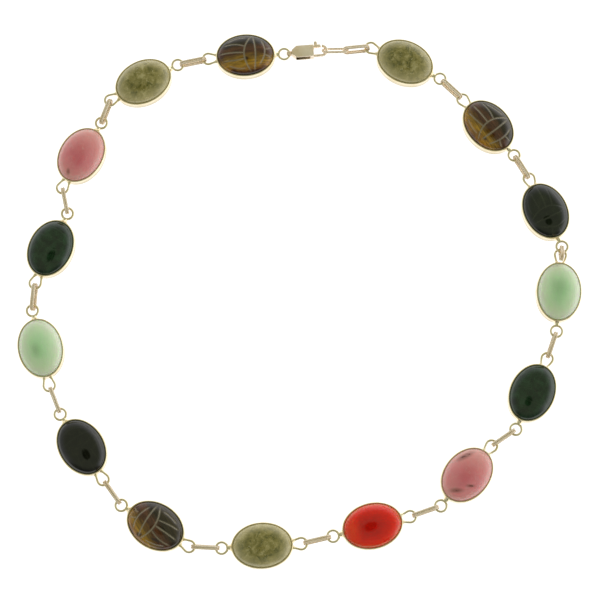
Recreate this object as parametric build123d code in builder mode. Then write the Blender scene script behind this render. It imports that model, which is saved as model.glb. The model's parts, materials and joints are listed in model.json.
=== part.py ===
from build123d import *
import os
from collections import namedtuple
from math import acos, atan2, cos, degrees, hypot, radians, sin, sqrt, tan

os.makedirs("parts", exist_ok=True)

# Scarab necklace lying in a closed loop on its back: millimetres, +Z up, clasp at +Y.

# Stones: oval cabochons with a flat back
stone_length = 14.0
stone_width = 10.3
stone_edge = 1.15  # height of the straight edge
dome_height = 3.1  # from the straight edge to the crown
groove_width = 0.36
groove_depth = 0.2

# Bezels: open at the back, with a ledge that the stone sits on
bezel_height = 2.8
bezel_wall = 0.45
stone_play = 0.05  # the wall is pressed in over the dome with this play
ledge_height = 0.8
ledge_width = 0.7
rim_round = 0.2

# Ring and legged loop soldered to each bezel, at half its height
loop_wire = 0.6
loop_radius = 1.4  # to the middle of the wire
ring_gap = 0.6  # bridged by the solder neck
neck_inset = 0.08  # from the middle of the ring's wire to the neck's start
neck_radius = 0.42
neck_foot = 0.85
loop_gap = 0.25  # from the bezel to the round of the legged loop
leg_spread = 1.6  # between the middles of the legs where they land
leg_foot = 0.48
leg_foot_length = 0.5
solder_depth = 0.22  # how far soldered pieces reach into the wall

# Links of doubled wire, one link of single wire
link_wire = 0.52
link_pair_pitch = 0.49
link_slot_length = 5.95
link_slot_height = 1.5
end_wire = 0.6
end_slot_length = 5.75
end_slot_height = 1.9
last_link_play = 0.3  # from the last loop's wire to the end of its link's slot
interlock_play = 0.55  # between the two links that hold each other
hook_play = 0.36  # between the end link and the hook
floor_play = 0.02
lap_gap = 0.15  # between two loops that lie one on the other
lap_shift = 0.85
lapped_lean = 30.0  # the upright link's top lies back over the lower loop

# Clasp, measured from the middle of its tail eye towards its nose
clasp_height = 2.8
clasp_width = 3.0
plate_thickness = 0.4
tail_start = 0.6
tail_width = 1.0
tail_taper = 1.2
slot_start = 1.6
plate_end = 6.1
root_length = 0.9
corner_round = 0.25
eye_play = 0.16  # round the wire of the first setting's ring
eye_wall = 0.28
eye_width = 0.9
clasp_reach = 9.8  # middle of the eye to the outside of the nose
hook_wire = 0.7
hook_thickness = 0.95
hook_radius = 1.25  # of the nose, to the middle of the hook
hook_end = 85.0  # degrees round the nose to the tip

pin_setback = 0.55  # from the plates' end
pin_inset = 0.8  # from the plates' side
pin_radius = 0.35
pin_head = 0.08
pin_play = 0.05
hub_radius = 0.72
hub_play = 0.06
lever_width = 0.7
lever_end_gap = 0.18
gate_bevel = 0.18
nub_width = 0.8
nub_rise = 0.9
nub_along = 6.75

# One row for each stone, from the clasp anticlockwise as seen from above. Headings are
# degrees from +X along the chain; drawn is the loop spacing as a share of a taut link's;
# lean tips the top of the link to the left of its heading. "lapped" has its loops overlap.
Station = namedtuple("Station", "stone heading link_heading drawn lean")
stations = [
    Station("tigers_eye", 184, 192, 0.966, -7),
    Station("jasper", 209, 250, 0.78, -9),
    Station("pink", 241, 282, 0.83, 3),
    Station("dark_green", 247, 266, 0.85, -12),
    Station("light_green", 284, 292, 0.936, 2),
    Station("dark_green", 304, 306, 0.946, -3),
    Station("tigers_eye", 329, 357, 0.966, -9),
    Station("jasper", 3, 13, 0.966, 5),
    Station("carnelian", 14, 19, 0.966, 4),
    Station("pink", 49, 34, 0.888, 2),
    Station("dark_green", 65, 70, 0.888, -3),
    Station("light_green", 85.5, 79, "lapped", 0),
    Station("dark_green", 113.5, 121, 0.868, -6),
    Station("tigers_eye", 131, 136, 0.966, -10),
    Station("jasper", 155, 186, "clasp", -20),
]
end_heading = 181
end_lean = 37
clasp_heading = 185
closing_rounds = 6

# Grooves of the carving: start, middle and end as shares of the half length and half
# width, head towards -X.
Groove = namedtuple("Groove", "name start middle end")
grooves = [
    Groove("shoulders", (-0.20, -0.84), (0.04, -0.02), (-0.12, 0.80)),
    Groove("neck", (-0.31, -0.72), (-0.34, 0.00), (-0.30, 0.70)),
    Groove("brow", (-0.58, -0.60), (-0.69, -0.04), (-0.52, 0.60)),
    Groove("left cheek", (-0.88, -0.22), (-0.78, -0.20), (-0.69, -0.14)),
    Groove("right cheek", (-0.88, 0.20), (-0.78, 0.16), (-0.69, 0.12)),
    Groove("wing seam", (0.04, 0.01), (0.44, -0.02), (0.86, -0.05)),
    Groove("left wing", (0.02, -0.30), (0.36, -0.42), (0.72, -0.44)),
    Groove("right wing", (0.02, 0.30), (0.38, 0.36), (0.76, 0.34)),
    Groove("left leg", (-0.04, -0.78), (0.30, -0.73), (0.60, -0.60)),
    Groove("right leg", (0.04, 0.74), (0.32, 0.70), (0.58, 0.58)),
]

# Worked out from the sizes above
half_length = stone_length / 2
half_width = stone_width / 2
pocket_x = half_length + stone_play
pocket_y = half_width + stone_play
outer_x = pocket_x + bezel_wall
outer_y = pocket_y + bezel_wall
mid_height = bezel_height / 2
edge_top = ledge_height + stone_edge
loop_outer = loop_radius + loop_wire / 2
loop_inner = loop_radius - loop_wire / 2
ring_reach = outer_x + ring_gap + loop_outer
loop_reach = outer_x + loop_gap + loop_outer
station_span = ring_reach + loop_reach
taut_pitch = link_slot_length + 2 * loop_inner
lapped_pitch = 2 * loop_radius - lap_shift
lap_lift = loop_wire + lap_gap
last_face = loop_inner - last_link_play  # from the last loop's middle to its link's slot
eye_hole = loop_wire / 2 + eye_play
ring_shift = (loop_radius - sqrt(loop_radius**2 - (eye_width / 2) ** 2)) / 2


def along(heading, distance):
    return Vector(distance * cos(radians(heading)), distance * sin(radians(heading)), 0)


# The chain as straight runs, joined at the loops: length and heading of each
run_lengths = []
run_headings = []
for station in stations[:-1]:
    pitch = lapped_pitch if station.drawn == "lapped" else station.drawn * taut_pitch
    run_lengths += [station_span, pitch]
    run_headings += [station.heading, station.link_heading]
run_lengths += [
    station_span,
    last_face + link_slot_length - interlock_play / 2,
    end_slot_length - (interlock_play + hook_play) / 2,
    clasp_reach - hook_wire - hook_play / 2 + loop_radius - ring_shift,
]
run_headings += [stations[-1].heading, stations[-1].link_heading, end_heading, clasp_heading]

# The headings are turned by the least amounts that close the loop
for _ in range(closing_rounds):
    gap = sum((along(h, l) for h, l in zip(run_headings, run_lengths)), Vector(0, 0, 0))
    slopes = [along(h + 90, l) for h, l in zip(run_headings, run_lengths)]
    xx = sum(s.X * s.X for s in slopes)
    xy = sum(s.X * s.Y for s in slopes)
    yy = sum(s.Y * s.Y for s in slopes)
    det = xx * yy - xy * xy
    pull_x = (yy * gap.X - xy * gap.Y) / det
    pull_y = (xx * gap.Y - xy * gap.X) / det
    run_headings = [
        h - degrees(s.X * pull_x + s.Y * pull_y) for h, s in zip(run_headings, slopes)
    ]

run_starts = [Vector(0, 0, 0)]
for heading, length in zip(run_headings, run_lengths):
    run_starts.append(run_starts[-1] + along(heading, length))

# Centre the loop on the box of its bezels
centres = [
    run_starts[2 * i] + along(run_headings[2 * i], ring_reach) for i in range(len(stations))
]
left = []
right = []
front = []
back = []
for centre, heading in zip(centres, run_headings[::2]):
    turn = radians(heading)
    reach_x = hypot(outer_x * cos(turn), outer_y * sin(turn))
    reach_y = hypot(outer_x * sin(turn), outer_y * cos(turn))
    left.append(centre.X - reach_x)
    right.append(centre.X + reach_x)
    front.append(centre.Y - reach_y)
    back.append(centre.Y + reach_y)
middle = Vector((min(left) + max(right)) / 2, (min(front) + max(back)) / 2, 0)


def turned(point, heading, lean=0.0, pitch=0.0):
    """Place at a point, turned to a heading, then leaned to the left, then head up."""
    place = Location((point.X, point.Y, point.Z), (0, 0, heading))
    return place * Location((0, 0, 0), (-lean, 0, 0)) * Location((0, 0, 0), (0, pitch, 0))


def write(piece, name):
    piece.label = name
    export_step(piece, f"parts/{name}.step")


# One carved stone, centred, with its head towards -X
def dome(inset):
    with BuildPart() as solid:
        with BuildSketch(Plane.XZ):
            with BuildLine():
                crown = edge_top + dome_height - inset
                rim = half_length - inset
                Line((0, crown), (0, ledge_height))
                Line((0, ledge_height), (rim, ledge_height))
                Line((rim, ledge_height), (rim, edge_top))
                EllipticalCenterArc((0, edge_top), rim, crown - edge_top, arc_size=90)
            make_face()
        revolve(axis=Axis.Z)
        scale(by=(1, (half_width - inset) / rim, 1))
    return solid.part


full_dome = dome(0)
inner_dome = dome(groove_depth)
pocket = dome(-stone_play)

with BuildPart() as cutter:
    with BuildSketch(Plane.XY.offset(edge_top)):
        for groove in grooves:
            with BuildLine():
                points = [
                    (u * half_length, v * half_width)
                    for u, v in (groove.start, groove.middle, groove.end)
                ]
                ThreePointArc(*points)
            trace(line_width=groove_width)
    extrude(amount=2 * dome_height)
    add(inner_dome, mode=Mode.SUBTRACT)

with BuildPart() as scarab:
    add(full_dome)
    add(cutter.part, mode=Mode.SUBTRACT)

# One bezel with its ring, legged loop and solder
with BuildPart() as bezel:
    with BuildSketch():
        Ellipse(outer_x, outer_y)
    extrude(amount=bezel_height)
    fillet(bezel.faces().sort_by(Axis.Z)[-1].edges(), rim_round)
    with Locations((-ring_reach, 0, mid_height)):
        Torus(loop_radius, loop_wire / 2)
    # solder neck, flaring onto the bezel
    neck_start = -ring_reach + loop_radius + neck_inset
    neck_end = -outer_x + solder_depth
    with BuildSketch(Plane.XZ):
        with BuildLine():
            Line((neck_start, mid_height), (neck_start, mid_height + neck_radius))
            TangentArc(
                (neck_start, mid_height + neck_radius),
                (neck_end, mid_height + neck_foot),
                tangent=(1, 0),
            )
            Line((neck_end, mid_height + neck_foot), (neck_end, mid_height))
            Line((neck_end, mid_height), (neck_start, mid_height))
        make_face()
    revolve(axis=Axis((0, 0, mid_height), (1, 0, 0)))
    # legged loop: tangents from the legs' feet to the round
    foot = Vector(outer_x - solder_depth, leg_spread / 2, 0)
    foot_angle = atan2(foot.Y, foot.X - loop_reach)
    foot_distance = hypot(foot.Y, foot.X - loop_reach)
    touch_angle = foot_angle - acos(loop_radius / foot_distance)
    touch = Vector(
        loop_reach + loop_radius * cos(touch_angle), loop_radius * sin(touch_angle), 0
    )
    with BuildLine(Plane.XY.offset(mid_height)) as leg_line:
        Line((foot.X, foot.Y), (touch.X, touch.Y))
        ThreePointArc(
            (touch.X, touch.Y), (loop_reach + loop_radius, 0), (touch.X, -touch.Y)
        )
        Line((touch.X, -touch.Y), (foot.X, -foot.Y))
    with BuildSketch(
        Plane(origin=(foot.X, foot.Y, mid_height), z_dir=(touch - foot).normalized())
    ):
        Circle(loop_wire / 2)
    sweep(path=leg_line.wires()[0])
    for side in (1, -1):
        leg = Vector(touch.X - foot.X, side * (touch.Y - foot.Y), 0).normalized()
        base = Vector(foot.X, side * foot.Y, mid_height) + leg * (leg_foot_length / 2)
        with Locations(Plane(origin=base, z_dir=leg)):
            Cone(leg_foot, loop_wire / 2, leg_foot_length)
    # the inside: open back, and a pocket that follows the dome
    with BuildSketch():
        Ellipse(pocket_x - ledge_width, pocket_y - ledge_width)
    extrude(amount=ledge_height, mode=Mode.SUBTRACT)
    add(pocket, mode=Mode.SUBTRACT)


def oval_link(slot_length, slot_height, wire, rows):
    """A link standing on edge along X, of one wire for each place across it."""
    straight = (slot_length - slot_height) / 2
    rise = (slot_height + wire) / 2
    with BuildPart() as link:
        with BuildLine(Plane.XZ) as route:
            Line((0, rise), (straight, rise))
            ThreePointArc((straight, rise), (straight + rise, 0), (straight, -rise))
            Line((straight, -rise), (-straight, -rise))
            ThreePointArc((-straight, -rise), (-straight - rise, 0), (-straight, rise))
            Line((-straight, rise), (0, rise))
        with BuildSketch(Plane(origin=(0, 0, rise), x_dir=(0, 1, 0), z_dir=(1, 0, 0))):
            with Locations(*[(row, 0) for row in rows]):
                Circle(wire / 2)
        sweep(path=route.wires()[0])
    return link.part


def resting_height(slot_height, wire, pair, lean):
    """Height of a leaning link's middle when its lower wire lies on the surface."""
    return (
        (slot_height + wire) / 2 * cos(radians(lean))
        + pair / 2 * sin(radians(abs(lean)))
        + wire / 2
        + floor_play
    )


double_link = oval_link(
    link_slot_length, link_slot_height, link_wire, (-link_pair_pitch / 2, link_pair_pitch / 2)
)
single_link = oval_link(end_slot_length, end_slot_height, end_wire, (0,))

# Stones, settings and links, one solid for each
lifted = 0.0
for index, station in enumerate(stations):
    number = index + 1
    heading = run_headings[2 * index]
    # a head that rests on the loop before it tips up about the bezel's far edge
    tip = degrees(atan2(lifted, ring_reach + outer_x))
    far_edge = centres[index] - middle + along(heading, outer_x)
    place = turned(far_edge, heading, pitch=tip) * Location((-outer_x, 0, 0))
    with BuildPart() as stone:
        with Locations(place):
            add(scarab.part)
    write(stone.part, f"stone_{number:02d}_{station.stone}")
    with BuildPart() as setting:
        with Locations(place):
            add(bezel.part)
    write(setting.part, f"setting_{number:02d}")

    link_start = run_starts[2 * index + 1] - middle
    link_heading = run_headings[2 * index + 1]
    lifted = 0.0
    if station.drawn == "lapped":
        lifted = lap_lift
        lean = radians(lapped_lean)
        straight = (link_slot_length - link_slot_height) / 2
        height = straight * cos(lean) + link_slot_height / 2 + link_wire + floor_play
        slide = (height - mid_height - lap_lift / 2) * tan(lean)
        link_middle = link_start + along(link_heading, lapped_pitch / 2 - slide)
        link_middle += Vector(0, 0, height)
        link_place = turned(link_middle, link_heading, pitch=-90 - lapped_lean)
    else:
        height = min(
            mid_height,
            resting_height(link_slot_height, link_wire, link_pair_pitch, station.lean),
        )
        if station.drawn == "clasp":
            link_middle = link_start + along(link_heading, last_face + link_slot_length / 2)
            height = mid_height
        else:
            link_middle = link_start + along(link_heading, station.drawn * taut_pitch / 2)
        link_middle += Vector(0, 0, height)
        link_place = turned(link_middle, link_heading, station.lean)
    with BuildPart() as link:
        with Locations(link_place):
            add(double_link)
    write(link.part, f"link_{number:02d}")

# The single link between the last double link and the hook
end_start = run_starts[-3] - middle
end_turn = run_headings[-2]
end_middle = end_start + along(end_turn, end_slot_length / 2 - interlock_play / 2)
end_middle += Vector(0, 0, clasp_height / 2)
with BuildPart() as end_link:
    with Locations(turned(end_middle, end_turn, end_lean)):
        add(single_link)
write(end_link.part, "end_link")

# The clasp, made along X with its tail eye at the origin and turned into place
clasp_turn = run_headings[-1]
eye_place = run_starts[-1] - middle - along(clasp_turn, loop_radius - ring_shift)
clasp_place = turned(eye_place, clasp_turn - 180)
slot_height = clasp_height - 2 * plate_thickness
clasp_middle = clasp_height / 2
root_start = plate_end - root_length
pin_along = plate_end - pin_setback
pin_across = clasp_width / 2 - pin_inset
nose_along = clasp_reach - hook_wire / 2 - hook_radius
shank_across = (hook_wire - clasp_width) / 2
nose_across = shank_across + hook_radius

with BuildPart() as clasp_body:
    with BuildSketch() as outline:
        with BuildLine():
            Polyline(
                (tail_start, -tail_width / 2),
                (tail_start + tail_taper, -clasp_width / 2),
                (plate_end, -clasp_width / 2),
                (plate_end, clasp_width / 2),
                (tail_start + tail_taper, clasp_width / 2),
                (tail_start, tail_width / 2),
                close=True,
            )
        make_face()
        fillet(outline.vertices(), corner_round)
    extrude(amount=clasp_height)
    # the space between the folded plates, closed by the hook's root
    with BuildSketch(Plane.XY.offset(plate_thickness)):
        with BuildLine():
            Polyline(
                (slot_start, -clasp_width),
                (root_start, -clasp_width),
                (root_start, shank_across + hook_wire / 2),
                (clasp_reach, shank_across + hook_wire / 2),
                (clasp_reach, clasp_width),
                (slot_start, clasp_width),
                close=True,
            )
        make_face()
    extrude(amount=slot_height, mode=Mode.SUBTRACT)
    # tail eye round the first setting's ring
    with BuildSketch(Plane.XZ.offset(-eye_width / 2)):
        with Locations((0, mid_height)):
            Circle(eye_hole + eye_wall)
        with Locations((tail_start, mid_height)):
            Rectangle(2 * tail_start, 2 * (eye_hole + eye_wall))
    extrude(amount=eye_width)
    with BuildSketch(Plane.XZ.offset(-eye_width)):
        with Locations((0, mid_height)):
            Circle(eye_hole)
    extrude(amount=2 * eye_width, mode=Mode.SUBTRACT)
    # hook from its root round the nose to its tip
    hook_start = root_start + corner_round
    with BuildLine(Plane.XY.offset(clasp_middle)) as hook_line:
        Line((hook_start, shank_across), (nose_along, shank_across))
        CenterArc((nose_along, nose_across), hook_radius, -90, 90 + hook_end)
    hook_plane = Plane(
        origin=(hook_start, shank_across, clasp_middle), x_dir=(0, 1, 0), z_dir=(1, 0, 0)
    )
    with BuildSketch(hook_plane):
        Ellipse(hook_wire / 2, hook_thickness / 2)
    sweep(path=hook_line.wires()[0])
    with Locations((pin_along, pin_across, clasp_middle)):
        Cylinder(pin_radius, 2 * clasp_height, mode=Mode.SUBTRACT)

with BuildPart() as clasp_pin:
    with BuildSketch():
        with Locations((pin_along, pin_across)):
            Circle(pin_radius)
    extrude(amount=clasp_height + pin_head)
    fillet(clasp_pin.faces().sort_by(Axis.Z)[-1].edges(), pin_head)

# Lever: hub between the plates, gate up to the hook's tip, nub for the thumb
tip_along = nose_along + (hook_radius - hook_wire / 2) * cos(radians(hook_end))
gate_end = tip_along - lever_end_gap
gate_top = nose_across + hook_radius + hook_wire / 2
gate_bottom = gate_top - lever_width
with BuildPart() as clasp_lever:
    with BuildSketch(Plane.XY.offset(plate_thickness + hub_play)):
        with Locations((pin_along, pin_across)):
            Circle(hub_radius)
    extrude(amount=slot_height - 2 * hub_play)
    with BuildSketch(Plane.XY.offset(clasp_middle - hook_thickness / 2)):
        with BuildLine():
            Polyline(
                (pin_along, gate_bottom - lever_width / 2),
                (plate_end, gate_bottom),
                (gate_end, gate_bottom),
                (gate_end - gate_bevel, gate_top),
                (nub_along, gate_top),
                (pin_along, pin_across + hub_radius),
                close=True,
            )
        make_face()
        # the nub, with a round end
        nub_centre = gate_top + nub_rise - nub_width / 2
        with Locations((nub_along, (gate_bottom + nub_centre) / 2)):
            Rectangle(nub_width, nub_centre - gate_bottom)
        with Locations((nub_along, nub_centre)):
            Circle(nub_width / 2)
    extrude(amount=hook_thickness)
    with Locations((pin_along, pin_across, clasp_middle)):
        Cylinder(pin_radius + pin_play, 2 * clasp_height, mode=Mode.SUBTRACT)

for name, piece in (
    ("clasp_body", clasp_body),
    ("clasp_pin", clasp_pin),
    ("clasp_lever", clasp_lever),
):
    with BuildPart() as placed:
        with Locations(clasp_place):
            add(piece.part)
    write(placed.part, name)

pin_place = (clasp_place * Location((pin_along, pin_across, 0))).position
print(f"length round the loop {sum(run_lengths):.1f} mm")
print(f"lever axis {pin_place.X:.3f} {pin_place.Y:.3f}, clasp heading {clasp_turn - 180:.2f}")
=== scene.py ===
import json
from math import acos, atan2, cos, pi, radians, sin

import bmesh
import bpy
import numpy as np
from mathutils import Matrix, Vector


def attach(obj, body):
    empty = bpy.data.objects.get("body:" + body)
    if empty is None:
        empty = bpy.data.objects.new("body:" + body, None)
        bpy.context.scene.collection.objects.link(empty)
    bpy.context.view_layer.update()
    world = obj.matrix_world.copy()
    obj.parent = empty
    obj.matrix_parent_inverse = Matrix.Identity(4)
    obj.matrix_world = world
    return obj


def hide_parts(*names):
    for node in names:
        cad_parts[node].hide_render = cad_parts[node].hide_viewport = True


# Scarab necklace: sizes are in millimetres and become metres as each piece is placed.
mm = 0.001
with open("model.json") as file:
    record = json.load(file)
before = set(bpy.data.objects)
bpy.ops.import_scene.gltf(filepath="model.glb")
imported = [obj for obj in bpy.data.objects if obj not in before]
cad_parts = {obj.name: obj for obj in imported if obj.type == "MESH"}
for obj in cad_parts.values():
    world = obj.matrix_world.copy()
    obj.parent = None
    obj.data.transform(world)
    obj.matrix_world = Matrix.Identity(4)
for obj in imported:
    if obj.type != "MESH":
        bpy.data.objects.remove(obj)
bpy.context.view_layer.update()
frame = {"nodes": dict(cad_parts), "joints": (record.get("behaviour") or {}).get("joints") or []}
nodes = frame["nodes"]
print("frame loaded,", len(nodes), "nodes")


# an sRGB hex value as a linear colour
def linear(hexColour):
    parts = [int(hexColour[i : i + 2], 16) / 255 for i in (1, 3, 5)]
    return [p / 12.92 if p < 0.04045 else ((p + 0.055) / 1.055) ** 2.4 for p in parts] + [1.0]


# adds a node: settings are its properties, inputs its values, and links the sockets that feed
# it, or the nodes whose first output does
def addNode(tree, kind, inputs=None, links=None, stops=None, **settings):
    node = tree.nodes.new(kind)
    for key, value in settings.items():
        setattr(node, key, value)
    for key, value in (inputs or {}).items():
        node.inputs[key].default_value = value
    for key, source in (links or {}).items():
        socket = source.outputs[0] if isinstance(source, bpy.types.Node) else source
        tree.links.new(socket, node.inputs[key])
    if stops:
        while len(node.color_ramp.elements) < len(stops):
            node.color_ramp.elements.new(1.0)
        for element, (position, colour) in zip(node.color_ramp.elements, stops):
            element.position = position
            element.color = linear(colour)
    return node


# a new material with its node tree and its shader, which starts from the values given
def newMaterial(name, **values):
    material = bpy.data.materials.new(name)
    material.use_nodes = True
    shader = material.node_tree.nodes["Principled BSDF"]
    for key, value in values.items():
        shader.inputs[key.replace("_", " ")].default_value = value
    return material, material.node_tree, shader


# a noise's bumps in a shader's surface, by their strength and their depth in millimetres
def roughen(tree, shader, place, noise, strength, depthMm):
    grain = addNode(tree, "ShaderNodeTexNoise", noise, {"Vector": place})
    bump = addNode(
        tree, "ShaderNodeBump", {"Strength": strength, "Distance": depthMm * mm}, {"Height": grain}
    )
    tree.links.new(bump.outputs["Normal"], shader.inputs["Normal"])


# Gold-filled wire and sheet, tumbled bright: a pale champagne mirror with a faint drag of
# fine scratches. A point attribute mixes in a brown, a little tarnish but mostly painted shade
# in gaps, grooves, the clasp's slot and under wires. The links and the clasp are the same metal left
# satin by drawing and stamping.
# Each finish has its clean and worn colour, and its least and greatest roughness.
goldLook = {
    "polished": ("#f9eccc", "#ead8a8", 0.09, 0.22), "satin": ("#fff2e0", "#f8e6ca", 0.66, 0.74),
    "tarnishAndShade": "#524010", "tarnishAndShadeDull": 0.2, "wornMm": 3.5, "wornFrom": 0.42, "wornTo": 0.75,
    "dullFrom": 0.35, "dullTo": 0.75, "scratchMm": 0.09, "scratchBump": 0.06,
    "scratchDepthMm": 0.01,
}


def goldMaterial(name, clean, worn, brightest, dullest):
    look = goldLook
    material, tree, shader = newMaterial(name, Metallic=1.0, Roughness=brightest)
    place = addNode(tree, "ShaderNodeTexCoord").outputs["Object"]
    tarnishAndShade = addNode(tree, "ShaderNodeAttribute", attribute_name="tarnishAndShade").outputs["Fac"]
    wear = addNode(
        tree, "ShaderNodeTexNoise",
        {"Scale": 1 / (look["wornMm"] * mm), "Detail": 3.0, "Roughness": 0.6}, {"Vector": place},
    )
    ramp = addNode(
        tree, "ShaderNodeValToRGB", None, {"Fac": wear},
        [(look["wornFrom"], clean), (look["wornTo"], worn)],
    )
    # painted shade, with a little tarnish: the attribute mixes brown into the colour and dulls the
    # roughness
    withTarnishAndShade = addNode(
        tree, "ShaderNodeMix", {"B": linear(look["tarnishAndShade"])},
        {"Factor": tarnishAndShade, "A": ramp}, data_type="RGBA",
    )
    tree.links.new(withTarnishAndShade.outputs["Result"], shader.inputs["Base Color"])
    dull = addNode(
        tree, "ShaderNodeMapRange",
        {
            "From Min": look["dullFrom"], "From Max": look["dullTo"],
            "To Min": brightest, "To Max": dullest,
        },
        {"Value": wear},
    )
    duller = addNode(
        tree, "ShaderNodeMath", {1: look["tarnishAndShadeDull"]}, {0: tarnishAndShade, 2: dull},
        operation="MULTIPLY_ADD",
    )
    tree.links.new(duller.outputs[0], shader.inputs["Roughness"])
    scratch = {"Scale": 1 / (look["scratchMm"] * mm), "Detail": 2.0}
    roughen(tree, shader, place, scratch, look["scratchBump"], look["scratchDepthMm"])
    return material


# lays a colour over another where a value passes from one limit to another
def overlay(tree, under, value, colour, start, end, most):
    share = addNode(
        tree, "ShaderNodeMapRange",
        {"From Min": start, "From Max": end, "To Min": 0.0, "To Max": most}, {"Value": value},
    )
    mixed = addNode(
        tree, "ShaderNodeMix", {"B": linear(colour)},
        {"Factor": share, "A": under}, data_type="RGBA",
    )
    return mixed.outputs["Result"]


# the same where a noise passes the limits
def mottle(tree, under, space, noise, colour, start, end, most):
    cells = addNode(tree, "ShaderNodeTexNoise", noise, {"Vector": space})
    return overlay(tree, under, cells, colour, start, end, most)


# colours along a noise, or along a value that the noise sways
def clouded(tree, space, noise, stops, sway=1.0, along=None):
    cloud = addNode(tree, "ShaderNodeTexNoise", noise, {"Vector": space})
    if along:
        cloud = addNode(
            tree, "ShaderNodeMath", {1: sway}, {0: cloud, 2: along}, operation="MULTIPLY_ADD"
        )
    return addNode(tree, "ShaderNodeValToRGB", None, {"Fac": cloud}, stops)


# Polished stones share a lapped gloss with a very slight waviness from hand cutting.
# stoneSpace is the stone's own place in millimetres, moved on for each stone, so the scale of
# a noise is in cells a millimetre. stoneRim goes from 0 at the crown to 1 at the edge.
# stoneCut is 1 at the bottom of a groove, and stoneSpot in the middle of a spot: an inclusion, but
# painted light on the light green and carnelian stones. wave is the waviness as a noise, its strength
# and its depth in millimetres.
stoneLook = {
    "ior": 1.54, "cutRoughness": 0.55, "wave": ({"Scale": 0.8, "Detail": 1.0}, 0.12, 0.12),
}


# look has the polish, the grooves' colour and how strong it is, and the light inside the
# stone as a weight, a depth in millimetres and the reach of red, green and blue
def stoneMaterial(name, drawColour, look):
    cutColour, cutAmount = look["cut"]
    weight, depthMm, reach = look.get("glow", (0, 0, (1, 1, 1)))
    material, tree, shader = newMaterial(
        name, Roughness=look["roughness"], IOR=stoneLook["ior"], Subsurface_Weight=weight,
        Subsurface_Radius=reach, Subsurface_Scale=depthMm * mm,
    )
    at = {
        layer: addNode(tree, "ShaderNodeAttribute", attribute_name=f"stone{layer}").outputs[output]
        for layer, output in (
            ("Space", "Vector"), ("Rim", "Fac"), ("Tint", "Fac"), ("Cut", "Fac"), ("Spot", "Fac"),
        )
    }
    dusted = overlay(tree, drawColour(tree, look, at), at["Cut"], cutColour, 0.0, 1.0, cutAmount)
    tree.links.new(dusted, shader.inputs["Base Color"])
    matt = addNode(
        tree, "ShaderNodeMapRange",
        {"To Min": look["roughness"], "To Max": stoneLook["cutRoughness"]}, {"Value": at["Cut"]},
    )
    tree.links.new(matt.outputs["Result"], shader.inputs["Roughness"])
    wave, strength, depthMm = stoneLook["wave"]
    roughen(tree, shader, at["Space"], wave, strength, depthMm)
    return material


# Tiger's eye: silky bands across y, bent by slow noise, with fine fibres along x on top
tigersEyeLook = {
    "roughness": 0.10, "cut": ("#a59a86", 0.85),
    "across": {"From Min": -6.4, "From Max": 6.4, "To Min": -0.13, "To Max": 0.87},
    "bend": 0.26, "bendNoise": {"Scale": 0.26, "Detail": 3.0},
    "bands": [
        (0.08, "#443a24"), (0.22, "#302610"), (0.34, "#744a30"), (0.44, "#62381a"),
        (0.53, "#967020"), (0.62, "#cc9e2a"), (0.70, "#c89028"), (0.77, "#6a3c0c"),
        (0.83, "#2c1a04"), (0.93, "#c07830"),
    ],
    "fibreStretch": (0.3, 3.6, 1.0), "fibreShare": 0.85,
    "fibreNoise": {"Scale": 1.0, "Detail": 4.0, "Roughness": 0.6},
    "fibres": [(0.35, "#8c8276"), (0.52, "#cdc6ba"), (0.68, "#fffdf6")],
    "smoke": ("#2a1418", 0.25, 0.8, 0.85),
}


def tigersEyeColour(tree, look, at):
    parts = addNode(tree, "ShaderNodeSeparateXYZ", None, {"Vector": at["Space"]})
    across = addNode(tree, "ShaderNodeMapRange", look["across"], {"Value": parts.outputs["Y"]})
    shifted = addNode(tree, "ShaderNodeMath", None, {0: across, 1: at["Tint"]}, operation="ADD")
    bands = clouded(tree, at["Space"], look["bendNoise"], look["bands"], look["bend"], shifted)
    thread = addNode(
        tree, "ShaderNodeMapping", {"Scale": look["fibreStretch"]}, {"Vector": at["Space"]}
    )
    silk = clouded(tree, thread, look["fibreNoise"], look["fibres"])
    mixed = addNode(
        tree, "ShaderNodeMix", {"Factor": look["fibreShare"]}, {"A": bands, "B": silk},
        data_type="RGBA", blend_type="MULTIPLY",
    )
    return overlay(tree, mixed.outputs["Result"], at["Spot"], *look["smoke"])


# Jasper: grey-green ground with soft dark patches, pale threads and a paler edge that is a painted
# sheen
jasperLook = {
    "roughness": 0.14, "cut": ("#8a8868", 0.15),
    "cloudNoise": {"Scale": 0.5, "Detail": 6.0, "Roughness": 0.68, "Distortion": 0.3},
    "clouds": [(0.36, "#6c6830"), (0.47, "#8c8244"), (0.55, "#a2965a"), (0.66, "#c8bc88")],
    "patchNoise": {"Scale": 0.42, "Detail": 3.0, "Roughness": 0.62, "Distortion": 0.9},
    "patches": ("#4c5016", 0.55, 0.63, 0.7), "edge": ("#dccfa0", 0.25, 1.0, 0.75),
    "threadNoise": {"Scale": 1.3, "Detail": 4.0, "Roughness": 0.7, "Distortion": 1.6},
    "threads": ("#dcd2a4", 0.60, 0.65, 0.6),
}


def jasperColour(tree, look, at):
    ground = clouded(tree, at["Space"], look["cloudNoise"], look["clouds"])
    patched = mottle(tree, ground, at["Space"], look["patchNoise"], *look["patches"])
    # painted sheen: paler towards the edge, along stoneRim, where the flank would catch bright light
    paintedEdgeSheen = overlay(tree, patched, at["Rim"], *look["edge"])
    return mottle(tree, paintedEdgeSheen, at["Space"], look["threadNoise"], *look["threads"])


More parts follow.
